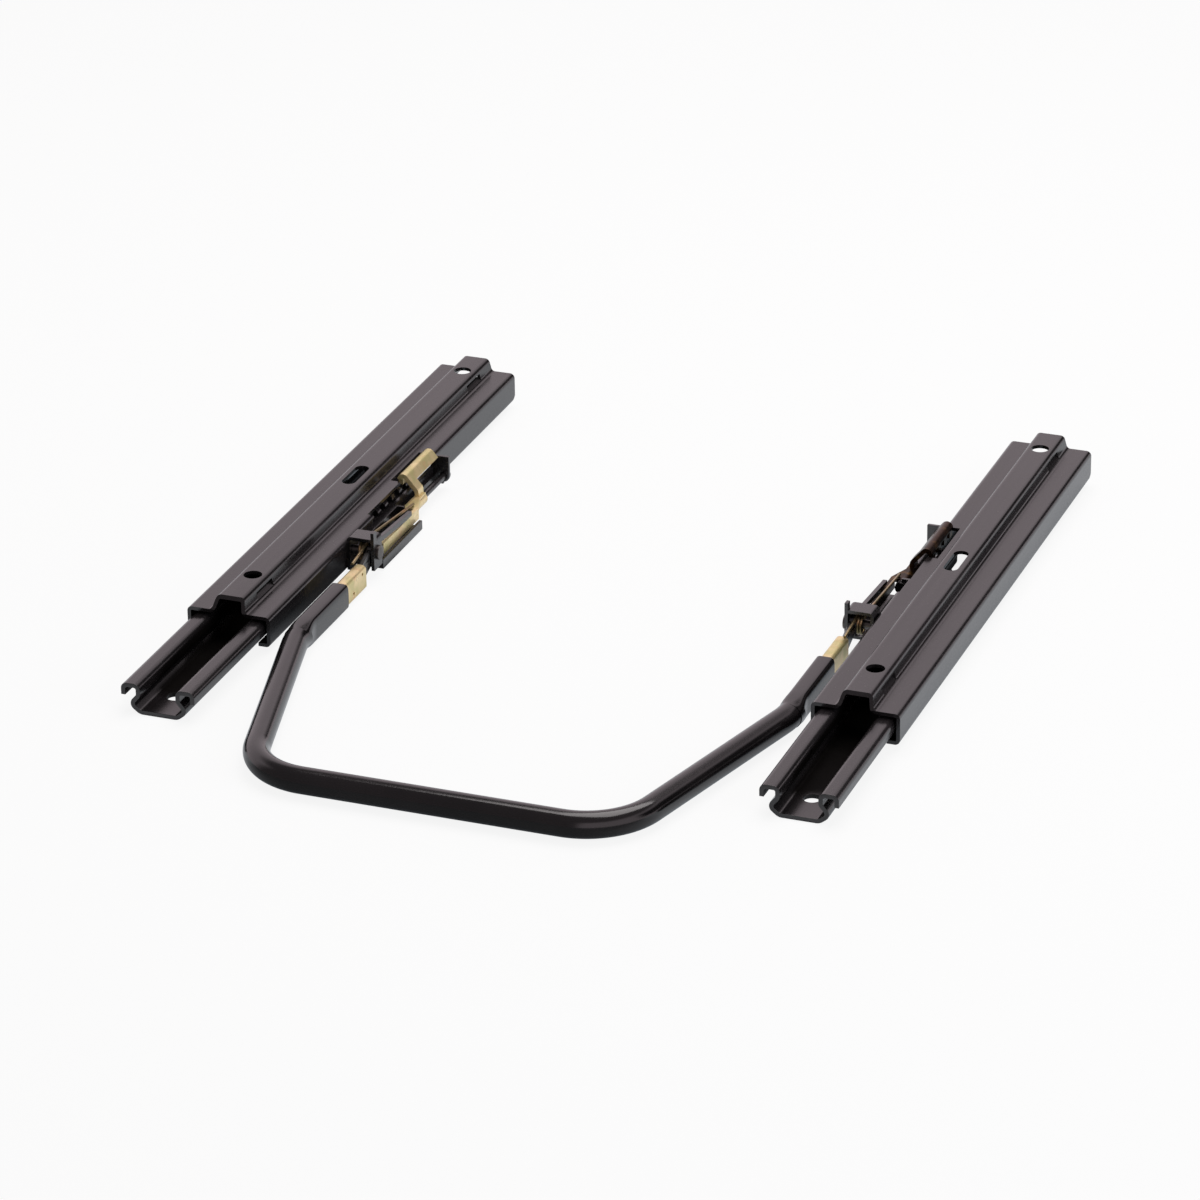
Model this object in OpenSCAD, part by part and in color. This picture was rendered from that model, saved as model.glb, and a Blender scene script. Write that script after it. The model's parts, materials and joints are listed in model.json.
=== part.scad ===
// Seat slide: two sliding rails for a vehicle seat, joined by a U-shaped release bar.
// Millimetres, +Z up, +Y to the rear. The rails are mirror images: each is drawn as the left one,
// with the lock on its +X side, y = 0 at the upper rail's front end and z = 0 under the lower rail.

/* [Rails] */
// Distance between the centre lines of the two rails
rail_spacing = 347; // [300:1:450]
// Length of an upper rail
upper_len = 350; // [330:1:420]
// Length of a lower rail
lower_len = 295; // [285:1:360]
// How far an upper rail's front end sits behind the lower rail's
set_back = 88.5; // [60:0.5:90]

/* [Upper rail] */
// Width over the side walls
upper_w = 47.5; // [44:0.5:60]
// Height of the side walls
wall_h = 17.3; // [15:0.1:24]
// Sheet thickness
upper_t = 2; // [1.5:0.1:2.5]
// Width of the raised crown, at its top
crown_w = 15.6; // [14:0.1:17]
// Lean of the crown's walls
crown_lean = 15; // [5:1:20]
// Height of the crown above the flanges
crown_h = 7.3; // [5.5:0.1:10]
// Inside radius of the folds
fold_r = 0.8; // [0.5:0.1:1.5]
// Radius at the foot of the crown
crown_fillet = 2.4; // [1:0.1:3]
// Gap between the bottom returns and the lower rail's bead
return_gap = 1.1; // [0.5:0.1:2]
// How far the crown is cut back at the front end
crown_cut = 4.5; // [2:0.5:10]
// Diameter of the seat bolt holes
seat_hole_d = 10; // [8:0.5:11]
// Front seat bolt hole, from the front end
seat_hole_y = 32.5; // [25:0.5:45]
// Rear seat bolt hole, from the rear end
seat_hole_rear = 21.5; // [20:0.5:45]
// Length of the middle slot
slot_len = 26; // [15:1:40]
// Width of the middle slot
slot_w = 8; // [6:0.5:10]
// Middle slot, from the front end
slot_y = 171; // [160:1:190]
// Cut at the rear lower corner of each side wall
corner_cut = 4; // [2:0.5:8]

/* [Lower rail] */
// Height of the upper rail's bottom edge above the floor
ride_h = 3.1; // [2:0.1:6]
// Sheet thickness
lower_t = 2.4; // [1.8:0.1:2.6]
// Width of the channel between the walls
channel_w = 20; // [18:0.1:21]
// How far the bead at the foot of each wall stands out
bead_out = 3.2; // [2.4:0.1:3.6]
// Length of the bead's lower flank
bead_flank = 2.4; // [1.5:0.1:3]
// Gap between the lips and the upper rail's flanges
lip_gap = 1.4; // [0.8:0.1:2]
// Gap between the hooks and the upper rail's walls
hook_gap = 1.05; // [0.6:0.05:1.5]
// Diameter of the floor bolt holes
floor_hole_d = 9; // [7:0.5:10]
// Front floor bolt hole, from the front end
floor_hole_front = 20.5; // [15:0.5:40]
// Rear floor bolt hole, from the rear end
floor_hole_rear = 15; // [12:0.5:40]
// Diameter of the small hole in the inner wall
wall_hole_d = 3.6; // [2:0.1:4]
// Small hole in the inner wall, from the front end
wall_hole_y = 48.5; // [35:0.5:70]

/* [Bearings] */
// Diameter of the balls
ball_d = 4.6; // [4.2:0.1:5.4]
// Play around the balls
ball_play = 0.2; // [0.1:0.05:0.4]
// Front balls, from the upper rail's front end
ball_y = 30; // [20:1:50]
// Distance between front and rear balls
ball_pitch = 140; // [100:1:150]
// Play above and below the rollers
roller_play = 0.2; // [0.1:0.05:0.4]
// Play at each end of the rollers
roller_end_play = 0.6; // [0.3:0.1:1]
// Front rollers, from the upper rail's front end
roller_y = 75; // [70:1:90]
// Distance between front and rear rollers
roller_pitch = 70; // [40:1:80]

/* [Lock] */
// Distance between lock notches
notch_pitch = 10; // [9:0.5:12]
// Length of a lock notch
notch_len = 5.6; // [4.5:0.1:6.5]
// Steps of travel
notch_steps = 17; // [10:1:17]
// Play at each side of a tooth in its notch
tooth_play = 0.5; // [0.3:0.1:1]
// Number of teeth
tooth_count = 4; // [2:1:4]
// First tooth, from the upper rail's front end
tooth_y = 191; // [188:0.5:194]
// Sheet thickness of the latch
latch_t = 2.5; // [2:0.1:2.8]
// Height of the tooth tips above the lip when the latch is released
tooth_lift = 0.4; // [0.3:0.1:1]
// Diameter of the latch's hinge pin
latch_pin_d = 4; // [3:0.1:5]
// Distance of the pad's outer face from the hinge pin
pad_w = 7; // [6.8:0.1:8]
// Length of the latch's pad, ahead of its arm
pad_len = 48; // [30:1:50]
// Height of the pad
pad_h = 6.4; // [4:0.1:6.6]

/* [Release] */
// Diameter of the release bar
tube_d = 14; // [12:0.5:14]
// Wall of the release bar
tube_t = 1.5; // [1:0.1:2]
// Gap between the release bar and the floor
bar_lift = 0.8; // [0.6:0.1:4]
// Distance of the release bar's ends from the rail's side wall
bar_out = 13; // [13:0.1:16]
// Release bar's front, ahead of the upper rails
bar_front = 143; // [100:1:200]
// Width of the release bar between its front corners
bar_front_w = 197; // [150:1:230]
// Bend radius of the front corners
bar_corner_r = 38; // [28:1:50]
// Bend radius where the arms turn in
bar_bend_r = 50; // [30:1:80]
// Bend where the arms turn in, from the upper rail's front end
bar_bend_y = 3.5; // [-10:0.5:8]
// Rear ends of the release bar, from the upper rail's front end
bar_end_y = 62; // [55:1:70]
// Length of the flattened ends
flat_len = 42; // [30:1:45]
// Width of the flattened ends
flat_w = 10.4; // [9:0.1:12]
// Height of the flattened ends
flat_h = 14.6; // [13:0.1:15]
// Diameter of the pivot pin
pivot_d = 5; // [4:0.1:6]
// Pivot pin, from the upper rail's front end
pivot_y = 108; // [105:0.5:110]
// Height of the pivot pin
pivot_z = 14; // [13:0.1:14.5]
// Thickness of the push arm
finger_t = 2.4; // [2:0.1:2.8]
// Gap between the push arm and the pad
finger_gap = 0.7; // [0.5:0.1:1]
// Sheet thickness of the brackets
bracket_t = 1.8; // [1.2:0.1:2]
// Wire of the return spring
spring_wire = 1.6; // [1.2:0.1:1.8]
// Mean radius of the return spring's coil
spring_r = 5.2; // [4.6:0.1:5.6]

/* [Hidden] */
$fn = 64;
eps = 0.01;
// running play of a pin in its bore, and of a pin in the bracket that holds it
run_play = 0.1;
seat_play = 0.03;
// faces of the upper rail
fold_out = fold_r + upper_t;
wall_x = upper_w / 2;
wall_in = wall_x - upper_t;
flange_z = ride_h + wall_h;
crown_z = flange_z + crown_h;
crown_foot = crown_w / 2 + crown_h * tan(crown_lean);
crown_turn = 90 - crown_lean;
// faces of the lower rail
lower_y = -set_back;
lower_end = lower_y + lower_len;
lip_z = flange_z - upper_t - lip_gap;
hook_x = wall_in - hook_gap;
hook_z = ride_h + upper_t + ball_d + 2 * ball_play;
foot_x = channel_w / 2 + lower_t;
bead_x = foot_x + bead_out;
return_x = bead_x + return_gap;
// bearings
ball_x = wall_in - ball_play - ball_d / 2;
ball_z = ride_h + upper_t + ball_play + ball_d / 2;
roller_d = crown_z - upper_t - lower_t - 2 * roller_play;
roller_w = crown_w + 2 * upper_t * (tan(crown_lean) - 1 / cos(crown_lean)) - 2 * roller_end_play;
// lock
tooth_len = notch_len - 2 * tooth_play;
tooth_margin = 4;
arch_y = tooth_y - tooth_margin;
arch_end = tooth_y + (tooth_count - 1) * notch_pitch + tooth_margin;
arm_len = 16;
arm_y = arch_y - arm_len;
hold_len = 7;
pad_y = arm_y - pad_len;
barrel_wall = 1.6;
barrel_gap = 0.4;
barrel_d = latch_pin_d + 2 * barrel_wall;
latch_pin_out = bracket_t + barrel_gap + barrel_d / 2;
latch_pin_x = wall_x + latch_pin_out;
latch_pin_rise = 5.4;
latch_pin_z = ride_h + latch_pin_rise;
pad_t = 2;
pad_rise = 3.5;
pad_z = latch_pin_z + pad_rise;
pad_gap = 0.9;
pad_in = barrel_d / 2 + pad_gap;
ear_gap = 0.5;
window_play = 1.5;
// release
bracket_z = ride_h + 0.5;
bar_z = tube_d / 2 + bar_lift;
bar_x = wall_x + bar_out;
finger_z = pad_z + finger_gap;
finger_end = pad_y + 0.8 * pad_len;
flat_power = 5;
lever_play = 0.2;
lever_t = 1.6;
lever_w = flat_w - 2 * tube_t - 2 * lever_play;
lever_h = 12.4;
finger_x = bar_x - lever_w / 2 + lever_t + lever_play;
tongue_share = pow(1 - pow(lever_w / (flat_w - 2 * tube_t), flat_power), 1 / flat_power);
tongue_h = (flat_h - 2 * tube_t) * tongue_share - 2 * lever_play;
tongue_len = 14;
lever_end = pivot_y - 18;
boss_r = pivot_d / 2 + 3;
strap_half = 5.5;
strap_y = pivot_y - strap_half;
strap_end = pivot_y + strap_half;
strap_in_z = pivot_z + max(boss_r, spring_r + spring_wire / 2) + 1.5;
coil_turns = 2;
coil_step = spring_wire + 0.05;
coil_x = finger_x - 0.3 - spring_wire / 2;
ear_x = finger_x + finger_t + 0.5;
// the origin lies under the middle of the whole part
part_front = -bar_front - tube_d / 2;
mid_y = (upper_len + part_front) / 2;

// Placing

module centred() {
  translate([0, -mid_y, 0]) children();
}

module on_left() {
  centred() translate([-rail_spacing / 2, 0, 0]) children();
}

module on_right() {
  mirror([1, 0, 0]) on_left() children();
}

// Draws a section in x and z and runs it along y
module along_y(y0, y1) {
  translate([0, y1, 0]) rotate([90, 0, 0]) linear_extrude(height = y1 - y0) children();
}

// Draws an outline in y and z and runs it along x
module along_x(x0, x1) {
  translate([x0, 0, 0]) rotate([90, 0, 90]) linear_extrude(height = x1 - x0) children();
}

module pin_x(x0, x1, y, z, d) {
  translate([x0, y, z]) rotate([0, 90, 0]) cylinder(h = x1 - x0, d = d);
}

module pin_y(y0, y1, x, z, d) {
  translate([x, y1, z]) rotate([90, 0, 0]) cylinder(h = y1 - y0, d = d);
}

// Folded sheet

fold_step = 12;
function ahead(a) = [cos(a), sin(a)];
function left_of(a) = [-sin(a), cos(a)];

// The right-hand edge of a strip of sheet seen end on, as points with headings. Each step is a straight
// run, the turn after it and that fold's inside radius. The strip starts towards +X.
function edge(steps, t, i = 0, p = [0, 0], a = 0) =
  let (
    q = p + steps[i][0] * ahead(a),
    turn = steps[i][1],
    to_centre = turn > 0 ? steps[i][2] + t : -steps[i][2],
    centre = q + to_centre * left_of(a),
    n = ceil(abs(turn) / fold_step)
  )
  turn == 0 ? [[p, a], [q, a]]
  : concat(
      [[p, a]],
      [for (k = [0 : n - 1]) [centre - to_centre * left_of(a + turn * k / n), a + turn * k / n]],
      edge(steps, t, i + 1, centre - to_centre * left_of(a + turn), a + turn)
    );

function right_side(e) = [for (s = e) s[0]];
function left_side(e, t) = [for (s = e) s[0] + t * left_of(s[1])];
function backwards(p) = [for (k = [len(p) - 1 : -1 : 0]) p[k]];
function flipped(p) = [for (q = p) [-q[0], q[1]]];
function without_first(p) = [for (k = [1 : len(p) - 1]) p[k]];

// A strip of sheet, with its thickness to the left of the way it goes
module folded(steps, t) {
  e = edge(steps, t);
  polygon(concat(right_side(e), backwards(left_side(e, t))));
}

// A strip that is the same on both sides of its start
module folded_both_ways(steps, t) {
  e = edge(steps, t);
  right = without_first(right_side(e));
  left = without_first(left_side(e, t));
  polygon(concat(right, backwards(left), flipped(left), backwards(flipped(right))));
}

// Rails

module upper_section() {
  translate([0, crown_z - upper_t])
    folded_both_ways([
      [crown_w / 2 - fold_out * tan(crown_turn / 2), -crown_turn, fold_r],
      [crown_h / cos(crown_lean) - (fold_out + crown_fillet) * tan(crown_turn / 2), crown_turn, crown_fillet],
      [wall_x - crown_foot - crown_fillet * tan(crown_turn / 2) - fold_out, -90, fold_r],
      [wall_h - 2 * fold_out, -90, fold_r],
      [wall_x - fold_out - return_x, 0, 0]
    ], upper_t);
}

// Pockets in both walls of the crown, ahead of a bolt hole
pocket_len = 20;
pocket_ahead = 5;
pocket_top = crown_z - fold_out;
pocket_in = crown_w / 2 + fold_out * tan(crown_lean) - upper_t / cos(crown_lean);

module both_sides() {
  for (side = [0, 1]) mirror([side, 0, 0]) children();
}

module crown_pockets(y) {
  both_sides()
    translate([pocket_in - upper_t, y - pocket_ahead - pocket_len / 2, flange_z - 2 * upper_t])
      cube([crown_foot - pocket_in + upper_t, pocket_len, pocket_top - flange_z + 2 * upper_t]);
}

// Tongues pressed in from the lower edges of the pockets, clear of the bolts
module pocket_tongues(y) {
  tongue_t = 1.6;
  tongue_gap = 1;
  grip = 0.6;
  end_gap = 0.3;
  root_z = flange_z - upper_t / 2;
  tip_x = seat_hole_d / 2 + tongue_gap / 2;
  tip_z = pocket_top - tongue_gap;
  half = pocket_len / 2 - end_gap;
  both_sides()
    along_y(y - pocket_ahead - half, y - pocket_ahead + half)
      polygon([
        [crown_foot + grip, root_z], [crown_foot, root_z], [tip_x, tip_z - tongue_t], [tip_x, tip_z],
        [crown_foot, root_z + tongue_t], [crown_foot + grip, root_z + tongue_t]
      ]);
}

// The crown's front end leans back
module crown_front() {
  past = 1;
  along_x(-wall_x, wall_x)
    polygon([[-past, flange_z + eps], [0, flange_z + eps], [crown_cut, crown_z + eps], [-past, crown_z + eps]]);
}

module upper_rail() {
  hole_deep = 3 * upper_t;
  holes = [seat_hole_y, upper_len - seat_hole_rear];
  color([0.22, 0.21, 0.22]) {
    difference() {
      along_y(0, upper_len) upper_section();
      crown_front();
      for (y = holes) {
        translate([0, y, crown_z - hole_deep]) cylinder(h = 2 * hole_deep, d = seat_hole_d);
        crown_pockets(y);
      }
      translate([0, slot_y, crown_z - hole_deep]) {
        for (k = [-1, 1])
          translate([0, k * (slot_len - slot_w) / 2, 0]) cylinder(h = 2 * hole_deep, d = slot_w);
        translate([-slot_w / 2, -(slot_len - slot_w) / 2, 0])
          cube([slot_w, slot_len - slot_w, 2 * hole_deep]);
      }
      lock_window();
      translate([0, upper_len, ride_h]) rotate([45, 0, 0])
        cube([2 * upper_w, corner_cut * sqrt(2), corner_cut * sqrt(2)], center = true);
    }
    for (y = holes) pocket_tongues(y);
  }
}

// The corner that is open for the latch: deep where it swings, and shallow ahead of that
module lock_window() {
  reach = 9;
  depth = 6.8;
  shallow = 1.2;
  translate([wall_x - reach, arch_y - window_play, flange_z - depth])
    cube([2 * reach, arch_end - arch_y + 2 * window_play, 2 * depth]);
  translate([wall_x - upper_t - shallow, pad_y + pad_len / 3, flange_z - depth])
    cube([2 * reach, arch_y - pad_y - pad_len / 3, 2 * depth]);
}

// The bead leans out at bead_up, turns in to bead_in and meets the wall upright
bead_up = 38;
bead_in = 132;
floor_r = 3;
bead_r = 1.5;
lip_r = 1;
bead_mid = bead_x - bead_r - lower_t;
bead_roof = (foot_x + bead_r - bead_mid - (2 * bead_r + lower_t) * sin(bead_in)) / cos(bead_in);
floor_half = bead_mid - (floor_r - bead_r) * sin(bead_up) - bead_flank * cos(bead_up);
wall_foot_z = (floor_r + lower_t) * (1 - cos(bead_up)) + bead_flank * sin(bead_up)
  + (bead_r + lower_t) * (cos(bead_up) - cos(bead_in)) + bead_roof * sin(bead_in)
  - bead_r * cos(bead_in);

wall_hole_z = wall_foot_z + 1.2;

module lower_section() {
  folded_both_ways([
    [floor_half, bead_up, floor_r],
    [bead_flank, bead_in - bead_up, bead_r],
    [bead_roof, 90 - bead_in, bead_r],
    [lip_z - lip_r - lower_t - wall_foot_z, -90, lip_r],
    [hook_x - lower_t - foot_x - 2 * lip_r, -90, lip_r],
    [lip_z - lip_r - lower_t - hook_z, 0, 0]
  ], lower_t);
}

module lock_notches() {
  notch_in = 6.6;
  notch_deep = lower_t + 1.6;
  last_y = tooth_y + notch_pitch;
  for (k = [0 : notch_steps + 1])
    translate([hook_x - notch_in, last_y - k * notch_pitch - notch_len / 2, lip_z - notch_deep])
      cube([2 * notch_in, notch_len, 2 * notch_deep]);
}

module lower_rail() {
  color([0.2, 0.19, 0.2])
  difference() {
    along_y(lower_y, lower_end) lower_section();
    for (y = [lower_y + floor_hole_front, lower_end - floor_hole_rear])
      translate([0, y, -lower_t]) cylinder(h = 3 * lower_t, d = floor_hole_d);
    pin_x(channel_w / 2 - 1, foot_x + 1, lower_y + wall_hole_y, wall_hole_z, wall_hole_d);
    lock_notches();
  }
}

// Bearings

module rollers() {
  chamfer = 1;
  color([0.62, 0.62, 0.64])
  for (y = [roller_y, roller_y + roller_pitch])
    translate([0, y, lower_t + roller_play + roller_d / 2]) rotate([0, 90, 0])
      rotate_extrude()
        polygon([
          [0, -roller_w / 2], [roller_d / 2 - chamfer, -roller_w / 2],
          [roller_d / 2, chamfer - roller_w / 2], [roller_d / 2, roller_w / 2 - chamfer],
          [roller_d / 2 - chamfer, roller_w / 2], [0, roller_w / 2]
        ]);
}

module balls() {
  color([0.7, 0.7, 0.72])
  for (side = [-1, 1], y = [ball_y, ball_y + ball_pitch])
    translate([side * ball_x, y, ball_z]) sphere(d = ball_d);
}

module ball_spacers() {
  spacer_d = ball_d - 1.2;
  color([0.85, 0.84, 0.8])
  for (side = [-1, 1])
    difference() {
      pin_y(ball_y, ball_y + ball_pitch, side * ball_x, ball_z, spacer_d);
      for (y = [ball_y, ball_y + ball_pitch])
        translate([side * ball_x, y, ball_z]) sphere(d = ball_d + 2 * ball_play);
    }
}

// Lock

arch_r = 1;
crest_r = 0.8;
arch_lean = 131;
arch_run = 9;
tooth_drop = 3.7;
crest_z = lip_z + tooth_lift + tooth_drop;
arch_rise = crest_z - latch_pin_z - arch_run * sin(arch_lean) + (arch_r - crest_r) * cos(arch_lean);

// The latch's plate seen end on: up beside the wall and over its corner
arch = [[arch_rise, arch_lean - 90, arch_r], [arch_run, 270 - arch_lean, crest_r], [eps, 0, 0]];

module arch_section() {
  translate([latch_pin_x + latch_t / 2, latch_pin_z]) rotate(90) folded(arch, latch_t);
}

// A tooth seen end on, hanging from the end of the plate
module tooth_section() {
  e = edge(arch, latch_t);
  drop_x = latch_pin_x + latch_t / 2 - e[len(e) - 1][0][1];
  translate([drop_x, crest_z - tooth_drop]) square([latch_t, tooth_drop + eps]);
}

// The arm seen from above: wide at the pad, and narrow along the barrel
module arm_outline() {
  narrow = 2.6;
  slant = 12;
  translate([latch_pin_x, arm_y])
    polygon([
      [0, 0], [pad_w, 0], [pad_w, pad_t], [narrow, pad_t + slant], [narrow, arm_len + hold_len],
      [0, arm_len + hold_len]
    ]);
}

module lock_latch() {
  hang_rise = 2.4;
  hang_z = lip_z + tooth_lift + hang_rise;
  color([0.78, 0.66, 0.4])
  difference() {
    union() {
      pin_y(arm_y, arch_y + hold_len, latch_pin_x, latch_pin_z, barrel_d);
      difference() {
        along_y(arch_y, arch_end) arch_section();
        translate([wall_x, arch_y + hold_len, 0]) cube([2 * pad_w + latch_pin_out, arch_end - arch_y, hang_z]);
      }
      for (k = [0 : tooth_count - 1])
        along_y(tooth_y + k * notch_pitch - tooth_len / 2, tooth_y + k * notch_pitch + tooth_len / 2)
          tooth_section();
      translate([0, 0, pad_z - pad_t]) linear_extrude(height = pad_t) arm_outline();
      translate([latch_pin_x, arm_y, latch_pin_z]) cube([pad_t, arm_len + hold_len, pad_z - latch_pin_z]);
      translate([latch_pin_x + pad_in, pad_y, pad_z - pad_t]) cube([pad_w - pad_in, pad_len + eps, pad_t]);
      translate([latch_pin_x + pad_w - pad_t, pad_y, pad_z - pad_h]) cube([pad_t, pad_len + pad_t, pad_h]);
    }
    pin_y(pad_y, arch_end + 1, latch_pin_x, latch_pin_z, latch_pin_d + 2 * run_play);
  }
}

module latch_pin() {
  head_h = 1.5;
  head_d = latch_pin_d + 2.5;
  y0 = arm_y - ear_gap - bracket_t - eps;
  y1 = arch_end + ear_gap + bracket_t + eps;
  color([0.1, 0.1, 0.1]) {
    pin_y(y0 - 1, y1 + 1, latch_pin_x, latch_pin_z, latch_pin_d);
    pin_y(y0 - head_h, y0, latch_pin_x, latch_pin_z, head_d);
    pin_y(y1, y1 + head_h, latch_pin_x, latch_pin_z, head_d);
  }
}

// An ear of the hinge bracket: from the wall out and around the pin
module ear_section(top) {
  translate([wall_x, bracket_z]) square([latch_pin_out, top - bracket_z]);
  translate([latch_pin_x, latch_pin_z]) circle(d = barrel_d);
}

// A plate on the rail's wall with an ear at each end of the pin, and a tray with a lip under the pad
module hinge_bracket() {
  front = arm_y - ear_gap;
  rear = arch_end + ear_gap;
  tray_y = strap_end + 1.5;
  tray_z = ride_h - 2.2;
  lip_x = latch_pin_x + pad_w + 1.2;
  lip_h = 3.5;
  low_top = latch_pin_z + 1;
  high_top = pad_z + 1.5;
  color([0.1, 0.1, 0.1])
  difference() {
    union() {
      translate([wall_x, tray_y, tray_z]) cube([bracket_t, front - tray_y, high_top - tray_z]);
      translate([wall_x, front - bracket_t, bracket_z])
        cube([bracket_t, rear - front + 2 * bracket_t, low_top - bracket_z]);
      along_y(front - bracket_t, front) ear_section(high_top);
      along_y(rear, rear + bracket_t) {
        ear_section(flange_z);
        translate([wall_x, latch_pin_z]) square([barrel_d / 2 + latch_pin_out, flange_z - latch_pin_z]);
      }
      translate([wall_x, tray_y, tray_z]) cube([lip_x + bracket_t - wall_x, front - tray_y, bracket_t]);
      translate([lip_x, tray_y, tray_z]) cube([bracket_t, front - tray_y, bracket_t + lip_h]);
    }
    pin_y(front - 2 * bracket_t, rear + 2 * bracket_t, latch_pin_x, latch_pin_z, latch_pin_d + 2 * seat_play);
  }
}

// Release

// The lever's channel seen end on, open at the bottom
module lever_section(h) {
  translate([bar_x, bar_z + h / 2 - lever_t])
    folded_both_ways([[lever_w / 2 - lever_t - fold_r, -90, fold_r], [h - lever_t - fold_r, 0, 0]], lever_t);
}

module release_lever() {
  hole_d = 2;
  color([0.8, 0.68, 0.42])
  difference() {
    union() {
      along_y(bar_end_y - tongue_len, bar_end_y + lever_play) lever_section(tongue_h);
      along_y(bar_end_y + lever_play, lever_end) lever_section(lever_h);
    }
    pin_x(bar_x, bar_x + lever_w, lever_end - 5, bar_z + 3, hole_d);
    pin_x(bar_x, bar_x + lever_w, lever_end - 17, bar_z - 3, hole_d);
  }
}

// The push arm seen from the side: a root inside the lever's channel, a boss and a finger over the pad
module push_arm_outline() {
  root_y = lever_end - 20;
  root_z = bar_z - lever_h / 2 + 1;
  root_top = bar_z + lever_h / 2 - lever_t - fold_r / 2;
  tip_h = 2.6;
  tip_l = 8;
  translate([pivot_y, pivot_z]) circle(r = boss_r);
  polygon([
    [root_y, root_z], [lever_end, root_z], [pivot_y, pivot_z - boss_r + 0.5],
    [pivot_y, pivot_z + boss_r - 1], [lever_end, root_top], [root_y, root_top]
  ]);
  polygon([
    [pivot_y, pivot_z + 2], [finger_end - tip_l, finger_z], [finger_end, finger_z],
    [finger_end, finger_z + tip_h], [pivot_y + 3, pivot_z + boss_r - 1]
  ]);
}

module push_arm() {
  color([0.1, 0.1, 0.1])
  difference() {
    along_x(finger_x, finger_x + finger_t) push_arm_outline();
    pin_x(finger_x - 1, finger_x + finger_t + 1, pivot_y, pivot_z, pivot_d + 2 * run_play);
  }
}

module pivot_bracket() {
  ear_foot_z = pivot_z - 9;
  strap_out = fold_r + bracket_t;
  strap_z = strap_in_z + bracket_t;
  tab_h = 3.8;
  tab_l = 4;
  color([0.09, 0.09, 0.09])
  difference() {
    union() {
      along_y(strap_y, strap_end)
        translate([wall_x, bracket_z]) rotate(90) mirror([0, 1])
          folded([
            [strap_z - bracket_z - strap_out, 90, fold_r],
            [ear_x + bracket_t - wall_x - 2 * strap_out, 90, fold_r],
            [strap_z - strap_out - ear_foot_z, 0, 0]
          ], bracket_t);
      translate([ear_x, strap_y, strap_z - strap_out]) cube([bracket_t, tab_l, strap_out + tab_h]);
    }
    pin_x(wall_x - 1, ear_x + 2 * bracket_t, pivot_y, pivot_z, pivot_d + 2 * seat_play);
  }
}

module pivot_pin() {
  head_h = 1.6;
  head_d = pivot_d + 3;
  out_x = ear_x + bracket_t + eps;
  color([0.5, 0.48, 0.46]) {
    pin_x(wall_x + eps, out_x + 1, pivot_y, pivot_z, pivot_d);
    pin_x(out_x, out_x + head_h, pivot_y, pivot_z, head_d);
  }
}

// The spring's wire: a leg that presses on the latch, the coil, and a leg that presses on the lever
coil_sides = 16;
wire_sides = 8;
leg_hold = 4;
leg_rise = spring_wire / 2 + 0.2;
leg_end = [latch_pin_x + pad_t + leg_rise, arm_y + leg_hold, pad_z + leg_rise];
lever_rest = [bar_x - lever_w / 2 + lever_t / 2, lever_end - leg_hold, bar_z + lever_h / 2 + leg_rise];
function coil_point(k) =
  let (a = 90 + 360 * k / coil_sides)
  [coil_x - coil_step * (coil_turns - k / coil_sides), pivot_y + spring_r * cos(a), pivot_z + spring_r * sin(a)];
wire = concat([leg_end], [for (k = [0 : coil_turns * coil_sides]) coil_point(k)], [lever_rest]);

function unit(v) = v / norm(v);
function heading(p, i) = unit(p[min(i + 1, len(p) - 1)] - p[max(i - 1, 0)]);
// the ring at point i of a wire that winds about the x axis
function wire_ring(p, i, r) =
  let (h = heading(p, i), side = unit(cross(h, cross([1, 0, 0], h))), up = cross(h, side))
  [for (k = [0 : wire_sides - 1])
    p[i] + r * (cos(360 * k / wire_sides) * side + sin(360 * k / wire_sides) * up)];

// Faces between rings of n points each, from point number first
function skin(first, rings, n) =
  [for (i = [0 : rings - 2], k = [0 : n - 1])
    [first + i * n + k, first + (i + 1) * n + k, first + (i + 1) * n + (k + 1) % n, first + i * n + (k + 1) % n]];

module wire_tube(p, r) {
  n = wire_sides;
  last = len(p) - 1;
  ends = [[for (k = [0 : n - 1]) k], [for (k = [n - 1 : -1 : 0]) last * n + k]];
  polyhedron([for (i = [0 : last]) each wire_ring(p, i, r)], concat(ends, skin(0, last + 1, n)), convexity = 8);
}

module return_spring() {
  color([0.6, 0.5, 0.32]) wire_tube(wire, spring_wire / 2);
}

// Release bar: rings along the tube's middle line, each with a place, a heading and how flat it is

arm_x = rail_spacing / 2 - bar_x;
corner_x = bar_front_w / 2;
arm_turn = atan((arm_x - corner_x) / (bar_bend_y + bar_front));
bend_trim = bar_bend_r * tan(arm_turn / 2);
corner_trim = bar_corner_r * tan((90 - arm_turn) / 2);
blend_len = 16;
bar_sides = 20;
bend_step = 7.5;

// Rings round a bend to the right of radius r, which starts at p with heading a
function bend_rings(p, a, turn, r) =
  let (n = ceil(turn / bend_step), centre = p - r * left_of(a))
  [for (k = [0 : n]) [centre + r * left_of(a - turn * k / n), a - turn * k / n, 0]];

// From the right arm's rear end to its front corner
bar_half =
  let (
    flat_y = bar_end_y - flat_len,
    elbow = [arm_x, bar_bend_y + bend_trim],
    corner = [corner_x, -bar_front] + corner_trim * [sin(arm_turn), cos(arm_turn)]
  )
  concat(
    [[[arm_x, bar_end_y], -90, 1]],
    [for (k = [0 : 4]) [[arm_x, flat_y - blend_len * k / 4], -90, (1 + cos(180 * k / 4)) / 2]],
    bend_rings(elbow, -90, arm_turn, bar_bend_r),
    bend_rings(corner, -90 - arm_turn, 90 - arm_turn, bar_corner_r)
  );
bar_rings = concat(bar_half, [for (s = backwards(bar_half)) [[-s[0][0], s[0][1]], -s[1], s[2]]]);

function mixed(a, b, share) = a + (b - a) * share;
function bulge(c, power) = sign(c) * pow(abs(c), 2 / power);
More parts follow.
